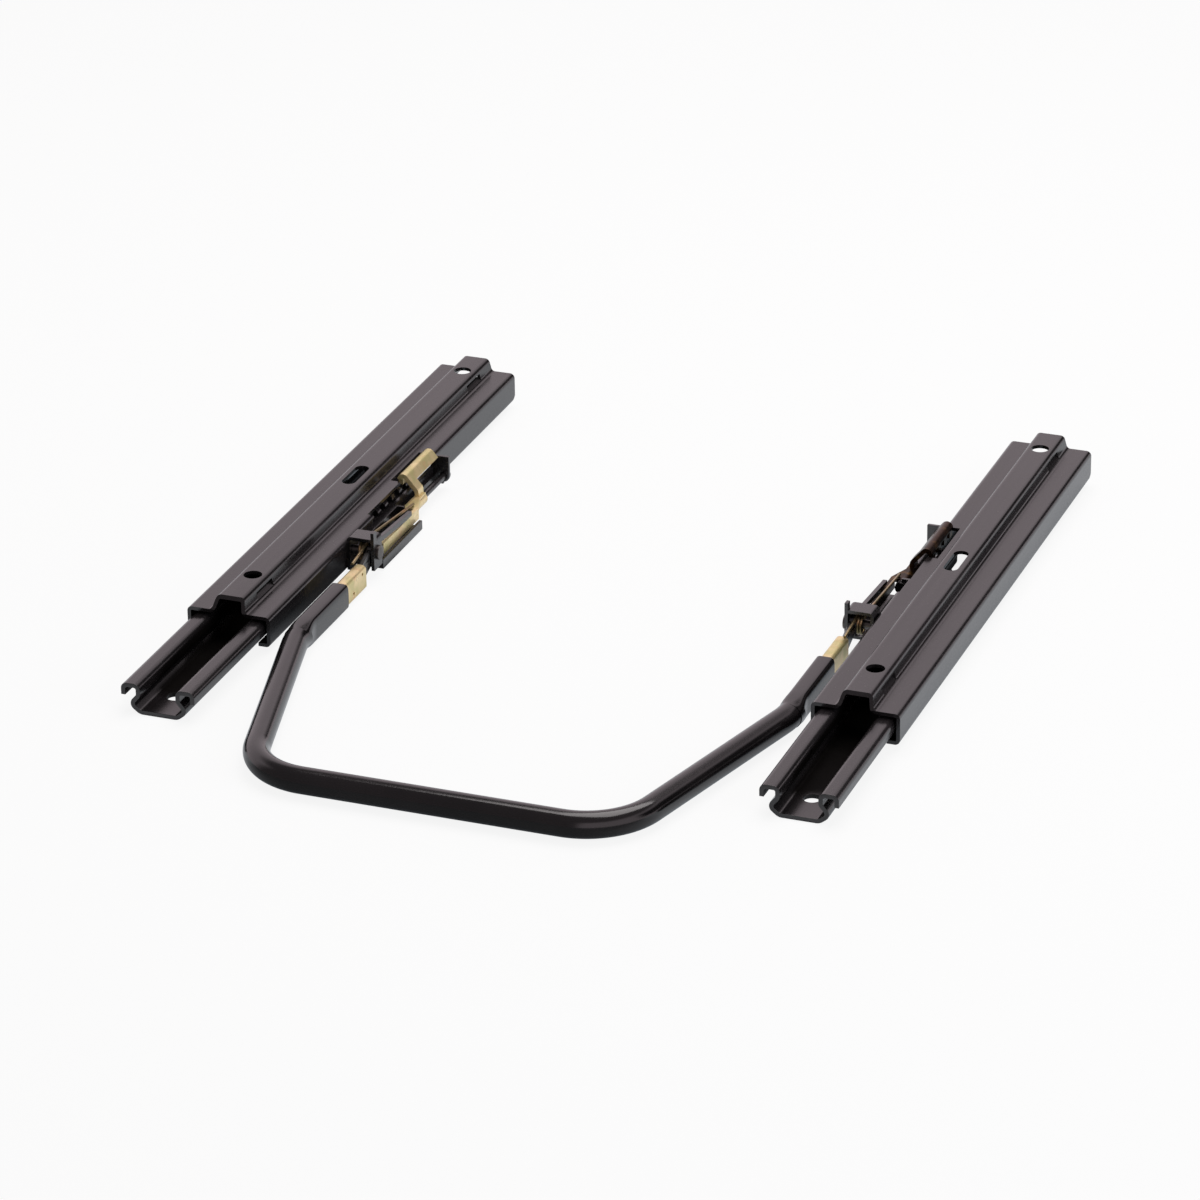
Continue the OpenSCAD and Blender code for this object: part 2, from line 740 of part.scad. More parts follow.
// A ring of the bar, set in from the tube's outside
function bar_ring(s, inset) =
  let (
    w = mixed(tube_d, flat_w, s[2]) / 2 - inset,
    h = mixed(tube_d, flat_h, s[2]) / 2 - inset,
    power = mixed(2, flat_power, s[2]),
    side = left_of(s[1])
  )
  [for (k = [0 : bar_sides - 1])
    let (a = 360 * k / bar_sides, across = w * bulge(cos(a), power))
    [s[0][0] + across * side[0], s[0][1] + across * side[1], bar_z + h * bulge(sin(a), power)]];

module release_bar() {
  n = bar_sides;
  rings = len(bar_rings);
  inner = rings * n;
  points = concat([for (s = bar_rings) each bar_ring(s, 0)], [for (s = bar_rings) each bar_ring(s, tube_t)]);
  inside = [for (f = skin(inner, rings, n)) backwards(f)];
  last = inner - n;
  rims = [for (k = [0 : n - 1]) each [
    [k, (k + 1) % n, inner + (k + 1) % n, inner + k],
    [last + (k + 1) % n, last + k, inner + last + k, inner + last + (k + 1) % n]
  ]];
  color([0.06, 0.06, 0.065])
  centred() polyhedron(points, concat(skin(0, rings, n), inside, rims), convexity = 8);
}

on_left() lower_rail();  // left_lower_rail
on_left() upper_rail();  // left_upper_rail
on_left() rollers();  // left_rollers
on_left() balls();  // left_balls
on_left() ball_spacers();  // left_ball_spacers
on_left() lock_latch();  // left_lock_latch
on_left() latch_pin();  // left_latch_pin
on_left() hinge_bracket();  // left_hinge_bracket
on_left() release_lever();  // left_release_lever
on_left() push_arm();  // left_push_arm
on_left() pivot_bracket();  // left_pivot_bracket
on_left() pivot_pin();  // left_pivot_pin
on_left() return_spring();  // left_return_spring
on_right() lower_rail();  // right_lower_rail
on_right() upper_rail();  // right_upper_rail
on_right() rollers();  // right_rollers
on_right() balls();  // right_balls
on_right() ball_spacers();  // right_ball_spacers
on_right() lock_latch();  // right_lock_latch
on_right() latch_pin();  // right_latch_pin
on_right() hinge_bracket();  // right_hinge_bracket
on_right() release_lever();  // right_release_lever
on_right() push_arm();  // right_push_arm
on_right() pivot_bracket();  // right_pivot_bracket
on_right() pivot_pin();  // right_pivot_pin
on_right() return_spring();  // right_return_spring
release_bar();
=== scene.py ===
import json
import math
import bpy
from mathutils import Matrix, Vector


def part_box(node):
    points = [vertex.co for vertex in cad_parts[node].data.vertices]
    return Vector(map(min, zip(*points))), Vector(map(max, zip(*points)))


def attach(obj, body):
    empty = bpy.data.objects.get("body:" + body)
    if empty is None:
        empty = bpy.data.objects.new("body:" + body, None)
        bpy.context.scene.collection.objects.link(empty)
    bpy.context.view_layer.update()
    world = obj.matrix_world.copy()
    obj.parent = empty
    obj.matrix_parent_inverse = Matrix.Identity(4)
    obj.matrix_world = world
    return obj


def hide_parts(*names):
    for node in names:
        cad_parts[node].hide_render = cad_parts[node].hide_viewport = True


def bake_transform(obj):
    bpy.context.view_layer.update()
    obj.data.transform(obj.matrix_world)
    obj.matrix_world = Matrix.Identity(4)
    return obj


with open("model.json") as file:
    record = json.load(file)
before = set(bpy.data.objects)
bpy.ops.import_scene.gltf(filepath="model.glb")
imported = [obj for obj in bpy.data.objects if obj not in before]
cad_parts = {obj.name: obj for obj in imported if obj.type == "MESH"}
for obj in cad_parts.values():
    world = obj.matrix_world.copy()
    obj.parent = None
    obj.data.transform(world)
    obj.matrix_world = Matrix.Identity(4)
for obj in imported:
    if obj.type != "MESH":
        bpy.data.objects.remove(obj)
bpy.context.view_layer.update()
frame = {"nodes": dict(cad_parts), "record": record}
nodes = frame["nodes"]
mm = 0.001
sides = {"left": -1, "right": 1}
print("frame loaded:", len(nodes), "nodes")


# one socket of a node tree, with maths on it
class Wire:
    def __init__(self, graph, socket):
        self.graph = graph
        self.socket = socket

    def maths(self, operation, first, second):
        return self.graph.add("ShaderNodeMath", {"operation": operation}, {0: first, 1: second})

    def __add__(self, other):
        return self.maths("ADD", self, other)

    def __radd__(self, other):
        return self.maths("ADD", other, self)

    def __sub__(self, other):
        return self.maths("SUBTRACT", self, other)

    def __rsub__(self, other):
        return self.maths("SUBTRACT", other, self)

    def __mul__(self, other):
        return self.maths("MULTIPLY", self, other)

    def __rmul__(self, other):
        return self.maths("MULTIPLY", other, self)

    def __abs__(self):
        return self.maths("ABSOLUTE", self, 0)

    # how far a noise is from its middle, times an amount
    def sway(self, amount):
        return amount * (self - 0.5)


# a node tree, with the few nodes that the finishes and the world share
class Graph:
    def __init__(self, tree):
        self.tree = tree
        self.places = None

    def add(self, kind, settings=None, sockets=None, out=0):
        node = self.tree.nodes.new(kind)
        for key, value in (settings or {}).items():
            setattr(node, key, value)
        for key, value in (sockets or {}).items():
            self.plug(node.inputs[key], value)
        return Wire(self, node.outputs[out])

    def plug(self, socket, value):
        if isinstance(value, Wire):
            self.tree.links.new(value.socket, socket)
        else:
            socket.default_value = value

    def place(self):
        if self.places is None:
            self.places = self.add("ShaderNodeTexCoord", out="Object")
        return self.places

    def axes(self, place):
        parts = self.add("ShaderNodeSeparateXYZ", None, {0: place}).socket.node.outputs
        return [Wire(self, part) for part in parts]

    def noise(self, scale=1.0, detail=3.0, stretch=(1, 1, 1)):
        place = self.add("ShaderNodeVectorMath", {"operation": "MULTIPLY"}, {0: self.place(), 1: stretch})
        return self.add("ShaderNodeTexNoise", None, {"Vector": place, "Scale": scale, "Detail": detail})

    def steps(self, value, low, high, start=0.0, end=1.0):
        return self.add("ShaderNodeMapRange", {"interpolation_type": "SMOOTHSTEP"},
                        {"Value": value, "From Min": low, "From Max": high, "To Min": start, "To Max": end})

    def mix(self, share, first, second):
        pair = [c if isinstance(c, Wire) else (*c, 1) for c in (first, second)]
        return self.add("ShaderNodeMix", {"data_type": "RGBA"}, {0: share, 6: pair[0], 7: pair[1]}, out=2)

    def bump(self, height, distance):
        return self.add("ShaderNodeBump", None, {"Height": height, "Distance": distance})

    def lightPath(self, ray):
        return self.add("ShaderNodeLightPath", out="Is " + ray + " Ray")

    def mixShaders(self, share, first, second):
        return self.add("ShaderNodeMixShader", None, {0: share, 1: first, 2: second})


# a material with one principled shader
class Finish(Graph):
    def __init__(self, name):
        self.material = bpy.data.materials.new(name)
        self.material.use_nodes = True
        super().__init__(self.material.node_tree)
        self.shader = self.tree.nodes["Principled BSDF"]
        self.output = self.tree.nodes["Material Output"]

    def set(self, **values):
        for key, value in values.items():
            self.plug(self.shader.inputs[key.replace("_", " ")], value)


# satin black paint on drawn sheet: streaks along the rail, orange peel and specks of dust
railPaint = dict(dark=(0.007, 0.006, 0.0065), light=(0.016, 0.0135, 0.0145), dust=(0.10, 0.095, 0.095),
                 roughness=0.20, shine=0.62, peel=0.00002,
                 streakStretch=(420, 9, 420), cloudScale=16.0, speckScale=900.0, peelScale=700.0,
                 streakShare=0.5, toneRange=(0.35, 0.68), speckRange=(0.70, 0.78), dustShare=0.35,
                 cloudRough=0.12, streakRough=0.08, dustRough=0.2, streakPeel=0.6)


def paintRail(name):
    p = railPaint
    f = Finish(name)
    streaks = f.noise(detail=4, stretch=p["streakStretch"])
    cloud = f.noise(p["cloudScale"], detail=4)
    specks = f.steps(f.noise(p["speckScale"], detail=2), *p["speckRange"])
    peel = f.noise(p["peelScale"], detail=2)
    tone = streaks * p["streakShare"] + cloud * (1 - p["streakShare"])
    colour = f.mix(f.steps(tone, *p["toneRange"]), p["dark"], p["light"])
    f.set(Base_Color=f.mix(specks * p["dustShare"], colour, p["dust"]))
    f.set(Roughness=p["roughness"] + cloud.sway(p["cloudRough"]) + streaks.sway(p["streakRough"])
          + p["dustRough"] * specks)
    f.set(Specular_IOR_Level=p["shine"])
    f.set(Normal=f.bump(peel + p["streakPeel"] * streaks, p["peel"]))
    return f


# the lower rails have painted shade inside the channel: a dull dark film that hardly reflects, which starts
# behind the front bolt hole
channelShade = dict(dark=(0.002, 0.0018, 0.0017), light=(0.006, 0.005, 0.0045), roughness=0.5, shine=0.02,
              half=10.5 * mm, edge=12.8 * mm, low=13 * mm, top=16 * mm, start=14 * mm, full=30 * mm,
              shadeNoiseScale=60.0, wander=0.02, shadeNoiseRough=0.2)


def makeChannelShadePaint():
    f = paintRail("rail_paint_channel_shade")
    low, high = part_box("right_lower_rail")
    x, y, z = f.axes(f.place())
    across = abs(abs(x) - (low[0] + high[0]) / 2)
    shadeNoise = f.noise(channelShade["shadeNoiseScale"], detail=4)
    # where the painted shade lies: inside the channel, below the lips, and from behind the front end deeper
    # in
    inside = f.steps(across, channelShade["half"], channelShade["edge"], 1.0, 0.0)
    below = f.steps(z, channelShade["low"], channelShade["top"], 1.0, 0.0)
    behind = f.steps(y + shadeNoise.sway(channelShade["wander"]), low[1] + channelShade["start"], low[1] + channelShade["full"])
    shadeFilm = f.add("ShaderNodeBsdfPrincipled", None, {
        "Base Color": f.mix(shadeNoise, channelShade["dark"], channelShade["light"]),
        "Roughness": channelShade["roughness"] + shadeNoise.sway(channelShade["shadeNoiseRough"]),
        "Specular IOR Level": channelShade["shine"]})
    both = f.mixShaders(inside * below * behind, Wire(f, f.shader.outputs[0]), shadeFilm)
    f.plug(f.output.inputs["Surface"], both)
    return f.material


# gloss black paint on the bent tube, with rubbed spots
barPaint = dict(dark=(0.004, 0.0034, 0.0038), light=(0.008, 0.0065, 0.007), roughness=0.15, shine=0.60,
                peel=0.00002, cloudScale=22.0, peelScale=380.0, rubStretch=(60, 300, 300),
                toneRange=(0.35, 0.65), rubRange=(0.66, 0.8), cloudRough=0.08, rubRough=0.12)


def makeBarPaint():
    p = barPaint
    f = Finish("bar_paint_gloss")
    cloud = f.noise(p["cloudScale"])
    peel = f.noise(p["peelScale"], detail=2)
    rubs = f.steps(f.noise(stretch=p["rubStretch"]), *p["rubRange"])
    f.set(Base_Color=f.mix(f.steps(cloud, *p["toneRange"]), p["dark"], p["light"]))
    f.set(Roughness=p["roughness"] + cloud.sway(p["cloudRough"]) + p["rubRough"] * rubs)
    f.set(Specular_IOR_Level=p["shine"])
    f.set(Normal=f.bump(peel, p["peel"]))
    return f.material


# black paint of the small brackets
bracketPaint = dict(dark=(0.004, 0.0038, 0.004), light=(0.012, 0.0105, 0.011), roughness=0.26, shine=0.90,
                    peel=0.00003, cloudScale=120.0, peelScale=900.0, toneRange=(0.35, 0.7), cloudRough=0.2)


def makeBracketPaint():
    p = bracketPaint
    f = Finish("bracket_paint_black")
    cloud = f.noise(p["cloudScale"], detail=4)
    peel = f.noise(p["peelScale"], detail=2)
    f.set(Base_Color=f.mix(f.steps(cloud, *p["toneRange"]), p["dark"], p["light"]))
    f.set(Roughness=p["roughness"] + cloud.sway(p["cloudRough"]))
    f.set(Specular_IOR_Level=p["shine"])
    f.set(Normal=f.bump(peel, p["peel"]))
    return f.material


# yellow chromate on zinc: straw gold with patches of olive and rose, and browner on the spring's wire; the
# right latch has a dark brown copy of the same chromate, which is painted shade, with lighter rose patches
# as painted glints
zincPattern = dict(patchScale=95.0, tintScale=170.0, grainStretch=(500, 2600, 500), patchRange=(0.40, 0.64),
                   tintRange=(0.52, 0.74), tintShare=0.6, patchRough=0.22, grainRough=0.1)
yellowZinc = dict(gold=(0.84, 0.67, 0.37), olive=(0.64, 0.56, 0.26), rose=(0.78, 0.49, 0.26), metal=0.6,
                  roughness=0.32, grain=0.00002)
springZinc = dict(gold=(0.36, 0.27, 0.15), olive=(0.24, 0.20, 0.10), rose=(0.46, 0.25, 0.12), metal=0.9,
                  roughness=0.30, grain=0.00001)
# painted shade on the right latch: the gold darkened to brown, with the rose patches left light as painted
# glints
shadedZinc = dict(gold=(0.045, 0.022, 0.012), olive=(0.030, 0.017, 0.010), rose=(0.22, 0.12, 0.04), metal=1.0,
                 roughness=0.34, grain=0.00002)


def makeZinc(name, tones):
    p = zincPattern
    f = Finish(name)
    patches = f.noise(p["patchScale"])
    tints = f.noise(p["tintScale"], detail=2)
    grain = f.noise(detail=2, stretch=p["grainStretch"])
    colour = f.mix(f.steps(patches, *p["patchRange"]), tones["gold"], tones["olive"])
    f.set(Base_Color=f.mix(f.steps(tints, *p["tintRange"]) * p["tintShare"], colour, tones["rose"]))
    f.set(Metallic=tones["metal"])
    f.set(Roughness=tones["roughness"] + patches.sway(p["patchRough"]) + grain.sway(p["grainRough"]))
    f.set(Normal=f.bump(grain, tones["grain"]))
    return f.material


# turned steel: dark on the pins, bright on the rollers and balls
steelPattern = dict(cloudScale=140.0, ringStretch=(3000, 300, 300), toneRange=(0.4, 0.75), cloudRough=0.2,
                    ringRough=0.1)
pinSteel = dict(light=(0.17, 0.16, 0.15), dull=(0.08, 0.07, 0.065), roughness=0.38, grain=0.00001)
rollerSteel = dict(light=(0.62, 0.61, 0.60), dull=(0.36, 0.33, 0.30), roughness=0.2, grain=0.00001)


def makeSteel(name, tones):
    p = steelPattern
    f = Finish(name)
    cloud = f.noise(p["cloudScale"], detail=4)
    rings = f.noise(detail=2, stretch=p["ringStretch"])
    f.set(Base_Color=f.mix(f.steps(cloud, *p["toneRange"]), tones["light"], tones["dull"]))
    f.set(Metallic=1.0)
    f.set(Roughness=tones["roughness"] + cloud.sway(p["cloudRough"]) + rings.sway(p["ringRough"]))
    f.set(Normal=f.bump(rings, tones["grain"]))
    return f.material


# natural plastic of the rods between the balls
spacerPlastic = dict(light=(0.80, 0.79, 0.74), dark=(0.68, 0.65, 0.58), roughness=0.45, grain=0.00002,
                     cloudScale=60.0, grainScale=1500.0, toneRange=(0.3, 0.7), cloudRough=0.15)


def makeSpacerPlastic():
    p = spacerPlastic
    f = Finish("spacer_plastic_natural")
    cloud = f.noise(p["cloudScale"])
    f.set(Base_Color=f.mix(f.steps(cloud, *p["toneRange"]), p["light"], p["dark"]))
    f.set(Roughness=p["roughness"] + cloud.sway(p["cloudRough"]))
    f.set(Normal=f.bump(f.noise(p["grainScale"], detail=2), p["grain"]))
    return f.material


# one finish for each slot of the record, and the few nodes with a finish of their own
finishes = dict(rail_paint=paintRail("rail_paint_satin").material,
                bar_paint=makeBarPaint(),
                bracket_paint=makeBracketPaint(),
                yellow_zinc=makeZinc("zinc_yellow_chromate", yellowZinc),
                pin_steel=makeSteel("pin_steel_turned", pinSteel),
                spring_steel=makeZinc("spring_zinc_dull", springZinc),
                roller_steel=makeSteel("roller_steel_ground", rollerSteel),
                spacer_plastic=makeSpacerPlastic())
# the lower rails' paint has painted shade inside the channel
ownFinish = dict.fromkeys(("left_lower_rail", "right_lower_rail"), makeChannelShadePaint())
# the right latch gets the dark copy of the zinc, which is painted shade
ownFinish["right_lock_latch"] = makeZinc("zinc_chromate_painted_shade", shadedZinc)
slotOf = {part["node"]: part["material_slot"] for part in frame["record"]["subparts"]}
for name, node in nodes.items():
    node.data.materials.clear()
    node.data.materials.append(ownFinish.get(name, finishes[slotOf[name]]))
print("finishes:", len(finishes))

# rounded edges on every node, with the folds shaded smooth; bevelAbove and smoothBelow are angles in degrees
edges = dict(join=0.002 * mm, bevel=0.25 * mm, segments=2, bevelAbove=38, smoothBelow=32)


def makeSmoothGroup():
    group = bpy.data.node_groups.new("smooth_folds", "GeometryNodeTree")
    group.interface.new_socket("Geometry", in_out="INPUT", socket_type="NodeSocketGeometry")
    group.interface.new_socket("Geometry", in_out="OUTPUT", socket_type="NodeSocketGeometry")
    start = group.nodes.new("NodeGroupInput")
    end = group.nodes.new("NodeGroupOutput")
    faces = group.nodes.new("GeometryNodeSetShadeSmooth")
    creases = group.nodes.new("GeometryNodeSetShadeSmooth")
    creases.domain = "EDGE"
    angle = group.nodes.new("GeometryNodeInputMeshEdgeAngle")
    below = group.nodes.new("FunctionNodeCompare")
    below.operation = "LESS_THAN"
    below.inputs[1].default_value = math.radians(edges["smoothBelow"])
    group.links.new(start.outputs[0], faces.inputs[0])
    group.links.new(faces.outputs[0], creases.inputs[0])
    group.links.new(angle.outputs[0], below.inputs[0])
    group.links.new(below.outputs[0], creases.inputs["Shade Smooth"])
    group.links.new(creases.outputs[0], end.inputs[0])
    return group


def softenEdges(obj, group):
    weld = obj.modifiers.new("weld", "WELD")
    weld.merge_threshold = edges["join"]
    bevel = obj.modifiers.new("edge", "BEVEL")
    bevel.width = edges["bevel"]
    bevel.segments = edges["segments"]
    bevel.limit_method = "ANGLE"
    bevel.angle_limit = math.radians(edges["bevelAbove"])
    bevel.use_clamp_overlap = True
    smooth = obj.modifiers.new("smooth", "NODES")
    smooth.node_group = group
    even = obj.modifiers.new("even", "WEIGHTED_NORMAL")
    even.keep_sharp = True


smoothGroup = makeSmoothGroup()
for node in nodes.values():
    softenEdges(node, smoothGroup)
print("edges softened")


# a new mesh that is shown in place of a node
def linkPiece(name, mesh, slot, node):
    mesh.shade_smooth()
    mesh.set_sharp_from_angle(angle=math.radians(edges["smoothBelow"]))
    mesh.materials.append(finishes[slot])
    piece = bpy.data.objects.new(name, mesh)
    bpy.context.scene.collection.objects.link(piece)
    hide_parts(node)
    return piece


# the release bar as a smooth tube: straight flattened ends, two slow bends and two tight front corners
bar = dict(tube=14 * mm, wall=1.5 * mm, frontWidth=197 * mm, cornerRadius=38 * mm, bendRadius=50 * mm,
           bendBack=58.5 * mm, flatLength=42 * mm, flatWidth=10.4 * mm, flatHeight=14.6 * mm, roundPower=2,
           flatPower=5, blend=16 * mm, blendSteps=16, sides=56, turnStep=math.radians(2))


def leftOf(angle):
    return Vector((-math.sin(angle), math.cos(angle)))


def bendRings(start, heading, turn, radius):
    steps = math.ceil(turn / bar["turnStep"])
    centre = start - radius * leftOf(heading)
    angles = [heading - turn * k / steps for k in range(steps + 1)]
    return [(centre + radius * leftOf(a), a, 0) for a in angles]


# rings from the right arm's rear end to the left one's, each with a place, a heading and how flat it is
def barRings():
    low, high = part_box("release_bar")
    armX, endY, frontY = high[0] - bar["tube"] / 2, high[1], low[1] + bar["tube"] / 2
    bendY = endY - bar["bendBack"]
    cornerX = bar["frontWidth"] / 2
    turn = math.atan2(armX - cornerX, bendY - frontY)
    back = -math.pi / 2
    elbow = Vector((armX, bendY + bar["bendRadius"] * math.tan(turn / 2)))
    cornerTrim = bar["cornerRadius"] * math.tan((math.pi / 2 - turn) / 2)
    corner = Vector((cornerX, frontY)) + cornerTrim * Vector((math.sin(turn), math.cos(turn)))
    rings = [(Vector((armX, endY)), back, 1)]
    for k in range(bar["blendSteps"] + 1):
        share = k / bar["blendSteps"]
        y = endY - bar["flatLength"] - bar["blend"] * share
        rings.append((Vector((armX, y)), back, (1 + math.cos(math.pi * share)) / 2))
    rings += bendRings(elbow, back, turn, bar["bendRadius"])
    rings += bendRings(corner, back - turn, math.pi / 2 - turn, bar["cornerRadius"])
    return rings + [(Vector((-p.x, p.y)), -a, flat) for p, a, flat in reversed(rings)]


# one ring's points, from a circle to a rounded box as it gets flatter
def ringPoints(ring, z, inset):
    place, heading, flat = ring
    wide = bar["tube"] + (bar["flatWidth"] - bar["tube"]) * flat - 2 * inset
    high = bar["tube"] + (bar["flatHeight"] - bar["tube"]) * flat - 2 * inset
    power = 2 / (bar["roundPower"] + (bar["flatPower"] - bar["roundPower"]) * flat)
    points = []
    for k in range(bar["sides"]):
        c, s = math.cos(math.tau * k / bar["sides"]), math.sin(math.tau * k / bar["sides"])
        across = place + leftOf(heading) * math.copysign(abs(c) ** power, c) * wide / 2
        points.append((across.x, across.y, z + math.copysign(abs(s) ** power, s) * high / 2))
    return points


def makeBar():
    low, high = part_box("release_bar")
    z = (low[2] + high[2]) / 2
    rings = barRings()
    around = bar["sides"]
    loops = [ringPoints(r, z, 0) for r in rings] + [ringPoints(r, z, bar["wall"]) for r in reversed(rings)]
    points = [point for loop in loops for point in loop]
    faces = []
    for i in range(len(loops)):
        j = (i + 1) % len(loops)
        for k in range(around):
            n = (k + 1) % around
            faces.append((i * around + k, j * around + k, j * around + n, i * around + n))
    mesh = bpy.data.meshes.new("bent_release_bar")
    mesh.from_pydata(points, [], faces)
    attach(linkPiece("bent_release_bar", mesh, "bar_paint", "release_bar"), "release")


# the return springs as round wire: a leg out to the latch, two turns round the pivot pin, and a leg on
# the lever; places are from the bar_lift joint, with x away from the middle of the part
spring = dict(wire=1.6 * mm, facets=4, radius=5.2 * mm, turns=2, pitch=1.65 * mm, inner=2.8 * mm, steps=40,
              legSteps=10, latchLeg=(4.2 * mm, 67 * mm, -1 * mm), leverLeg=(2.7 * mm, -22 * mm, 1.6 * mm),
              followStart=8 * mm, followEnd=45 * mm)


def wireMesh(points, width):
    curve = bpy.data.curves.new("wire", "CURVE")
    curve.dimensions = "3D"
    curve.bevel_depth = width / 2
    curve.bevel_resolution = spring["facets"]
    curve.use_fill_caps = True
    line = curve.splines.new("POLY")
    line.points.add(len(points) - 1)
    for spot, point in zip(line.points, points):
        spot.co = (*point, 1)
    shape = bpy.data.objects.new("wire", curve)
    mesh = bpy.data.meshes.new_from_object(shape)
    bpy.data.objects.remove(shape)
    bpy.data.curves.remove(curve)
    return mesh


def springLine():
    coil = []
    for k in range(spring["turns"] * spring["steps"] + 1):
        turned = k / spring["steps"]
        angle = math.pi / 2 + math.tau * turned
        x = spring["inner"] + spring["pitch"] * (spring["turns"] - turned)
        coil.append(Vector((x, spring["radius"] * math.cos(angle), spring["radius"] * math.sin(angle))))
    tip = Vector(spring["latchLeg"])
    leg = [tip.lerp(coil[0], k / spring["legSteps"]) for k in range(spring["legSteps"])]
    return [*leg, *coil, Vector(spring["leverLeg"])]


def makeSprings():
    lift = next(j for j in frame["record"]["behaviour"]["joints"] if j["name"] == "bar_lift")
    pinX, pinY, pinZ = lift["pos_m"]
    for side, way in sides.items():
        points = [(way * (abs(pinX) + p.x), pinY + p.y, pinZ + p.z) for p in springLine()]
        mesh = wireMesh(points, spring["wire"])
        piece = linkPiece(side + "_coil_spring", mesh, "spring_steel", side + "_return_spring")
        way * abs(pinX)
        pinY + spring["followStart"]
        way * abs(pinX)
        pinY + spring["followEnd"]
        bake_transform(piece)


makeBar()
makeSprings()
print("bar and springs made")

# floor: white to the camera, plain in the light that it throws back, and in reflections a little bluish,
# but with painted shadow in reflections there in front of the bar and in the nook between the left rail and
# the bar's arm
floorLook = dict(size=12.0, colour=(0.88, 0.88, 0.88), roughness=0.9, glow=0.88, gloss=0.35,
                 sheen=(0.82, 0.91, 1.0), front=(-0.20, -0.26), frontShadowDepth=0.75,
                 nookLeft=(-0.175, -0.160), nookRight=(-0.128, -0.136), nookFront=(-0.14, -0.02),
                 nookBack=(0.06, 0.03), nookShadowDepth=0.88)


def makeFloor():
    p = floorLook
    half = p["size"] / 2
    corners = [(-half, -half, 0), (half, -half, 0), (half, half, 0), (-half, half, 0)]
    mesh = bpy.data.meshes.new("floor")
    mesh.from_pydata(corners, [], [(0, 1, 2, 3)])
    floor = bpy.data.objects.new("floor", mesh)
    bpy.context.scene.collection.objects.link(floor)
    f = Finish("floor_pale")
    f.set(Base_Color=(*p["colour"], 1), Roughness=p["roughness"])
    white = f.add("ShaderNodeEmission", None, {"Color": (1, 1, 1, 1)})
    sheen = f.add("ShaderNodeEmission", None, {"Color": (*p["sheen"], 1)})
    seen = f.mixShaders(f.lightPath("Camera") * p["glow"], Wire(f, f.shader.outputs[0]), white)
    dark = f.add("ShaderNodeEmission", None, {"Color": (0, 0, 0, 1)})
    x, y = f.axes(f.place())[:2]
    # painted shadow, seen only in reflections: the floor goes dark in front of the bar and in the nook by
    # the left rail
    front = f.steps(y, *p["front"]) * p["frontShadowDepth"]
    nookShadow = f.steps(x, *p["nookLeft"]) * f.steps(x, *p["nookRight"])
    nookShadow = nookShadow * f.steps(y, *p["nookFront"]) * f.steps(y, *p["nookBack"]) * p["nookShadowDepth"]
    both = f.mixShaders(f.lightPath("Glossy") * p["gloss"], seen, sheen)
    f.plug(f.output.inputs["Surface"], f.mixShaders(f.lightPath("Glossy") * (front + nookShadow), both, dark))
    mesh.materials.append(f.material)


# world: white behind the floor, a soft fill, and in reflections a pale backdrop that is dim in front on the
# left and overhead, with a dark band at the back on the right
backdrop = dict(fill=0.30, sheen=(1.0, 0.87, 0.92), shade=0.02, dim=0.22,
                shadeSide=(0.02, 0.22), shadeBack=(-0.15, 0.10), shadeLow=(0.10, 0.18),
                shadeHigh=(0.60, 0.46), dimFront=(0.1, -0.3), dimSide=(0.25, 0.0), dimTop=(0.74, 0.56))


def makeWorld():
    p = backdrop
    world = bpy.data.worlds.new("studio")
    bpy.context.scene.world = world
    world.use_nodes = True
    g = Graph(world.node_tree)
    x, y, z = g.axes(g.add("ShaderNodeTexCoord", out="Generated"))
    band = g.steps(x, *p["shadeSide"]) * g.steps(y, *p["shadeBack"])
    band = band * g.steps(z, *p["shadeLow"]) * g.steps(z, *p["shadeHigh"])
    front = g.steps(y, *p["dimFront"]) * g.steps(x, *p["dimSide"])
    lit = (1 - front) * g.steps(z, *p["dimTop"])
    white = g.add("ShaderNodeBackground", None, {"Color": (1, 1, 1, 1), "Strength": 1.0})
    fill = g.add("ShaderNodeBackground", None, {"Color": (1, 1, 1, 1), "Strength": p["fill"]})
    sheen = g.add("ShaderNodeBackground", None, {"Color": (*p["sheen"], 1), "Strength": 1.0})
    dark = g.add("ShaderNodeBackground", None, {"Color": (1, 1, 1, 1), "Strength": p["shade"]})
    dim = g.add("ShaderNodeBackground", None, {"Color": (*p["sheen"], 1), "Strength": p["dim"]})
    mirrored = g.mixShaders(band, g.mixShaders(lit, dim, sheen), dark)
    thrown = g.mixShaders(g.lightPath("Glossy"), fill, mirrored)
    seen = g.lightPath("Camera") + g.lightPath("Transmission")
    g.plug(g.tree.nodes["World Output"].inputs["Surface"], g.mixShaders(seen, thrown, white))


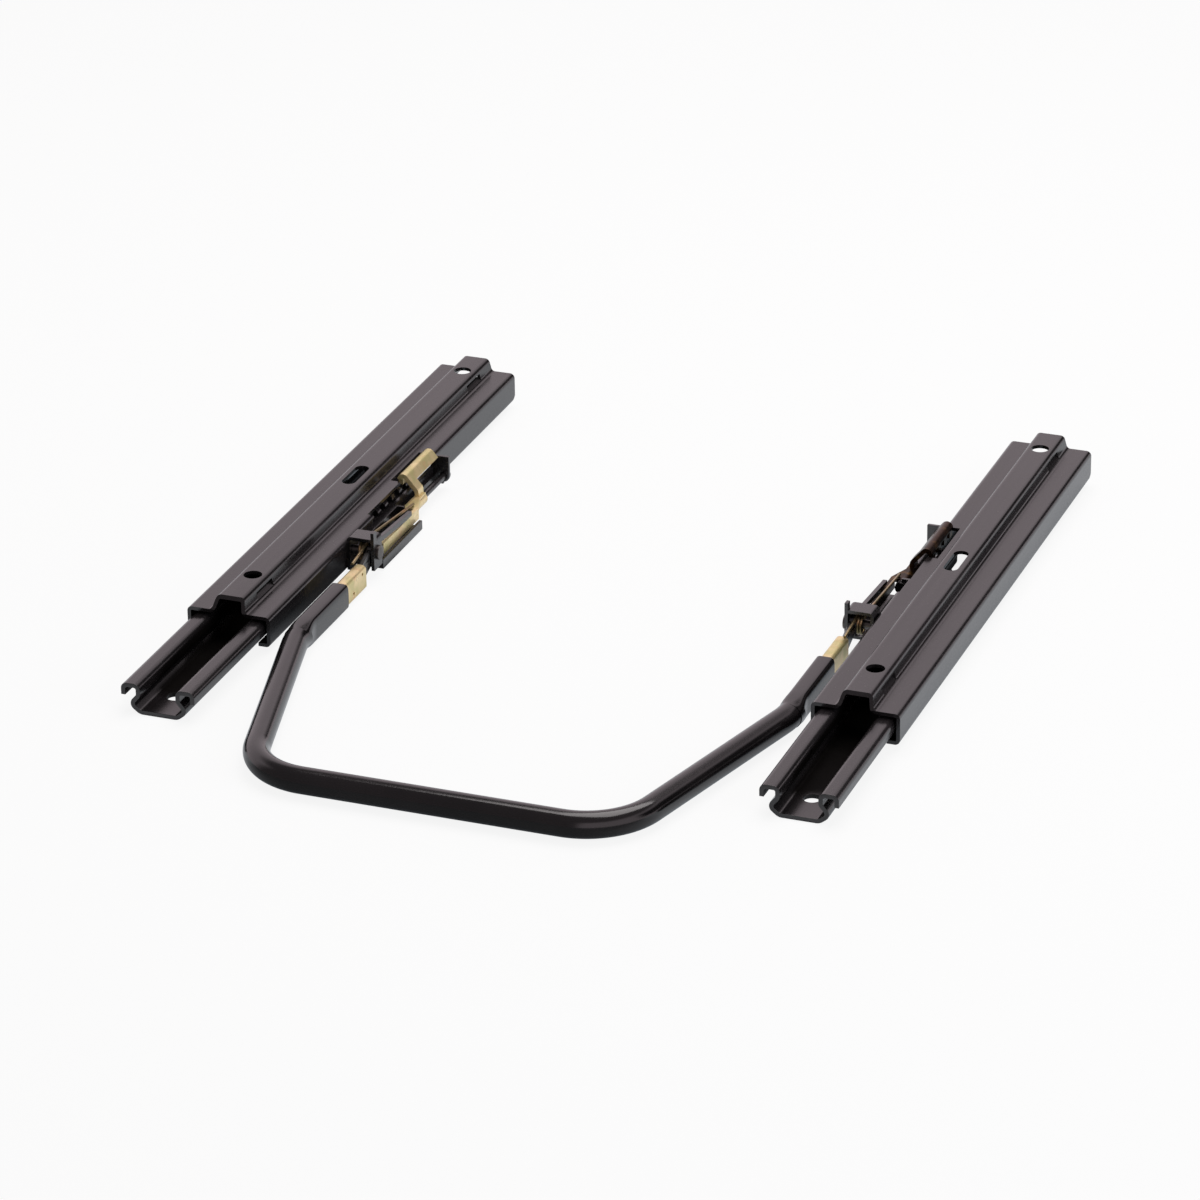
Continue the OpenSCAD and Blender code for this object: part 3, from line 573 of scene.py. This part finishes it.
# a large lamp above and a bluish one on the right, which isn't mirrored; both are aimed at the origin
keyLamp = dict(place=(0.1, 0.5, 1.7), size=1.4, power=22.0, colour=(1.0, 0.95, 0.95), mirrored=True)
sideLamp = dict(place=(1.6, -0.3, 0.7), size=1.0, power=8.0, colour=(0.86, 0.93, 1.0), mirrored=False)


def makeLamp(name, look):
    lamp = bpy.data.lights.new(name, "AREA")
    lamp.shape = "SQUARE"
    lamp.size = look["size"]
    lamp.energy = look["power"]
    lamp.color = look["colour"]
    obj = bpy.data.objects.new(name, lamp)
    bpy.context.scene.collection.objects.link(obj)
    obj.location = look["place"]
    obj.rotation_euler = (-Vector(look["place"])).to_track_quat("-Z", "Y").to_euler()
    obj.visible_glossy = look["mirrored"]


# the camera was worked out from the rails' edges in the 1200 by 1200 photograph
cameraView = dict(azimuth=21.085, elevation=25.198, roll=-0.857, distance=2.84629, across=-0.02013,
                  up=-0.01406, target=(0, 0.05, 0.0031), focal=5262.2, image=1200, sensor=36.0)


def makeCamera():
    a, e, r = (math.radians(cameraView[k]) for k in ("azimuth", "elevation", "roll"))
    back = Vector((math.sin(a) * math.cos(e), -math.cos(a) * math.cos(e), math.sin(e)))
    right = Vector((math.cos(a), math.sin(a), 0))
    up = back.cross(right)
    place = (Vector(cameraView["target"]) + back * cameraView["distance"] + right * cameraView["across"]
             + up * cameraView["up"])
    rolledRight = math.cos(r) * right + math.sin(r) * up
    rolledUp = math.cos(r) * up - math.sin(r) * right
    turned = Matrix((rolledRight, rolledUp, back)).transposed()
    camera = bpy.data.cameras.new("camera")
    camera.sensor_width = cameraView["sensor"]
    camera.lens = cameraView["focal"] / cameraView["image"] * cameraView["sensor"]
    obj = bpy.data.objects.new("camera", camera)
    obj.matrix_world = Matrix.Translation(place) @ turned.to_4x4()
    bpy.context.scene.collection.objects.link(obj)
    bpy.context.scene.camera = obj


makeFloor()
makeWorld()
makeLamp("key", keyLamp)
makeLamp("side", sideLamp)
makeCamera()
bpy.context.scene.view_settings.view_transform = "Standard"
print("studio ready")
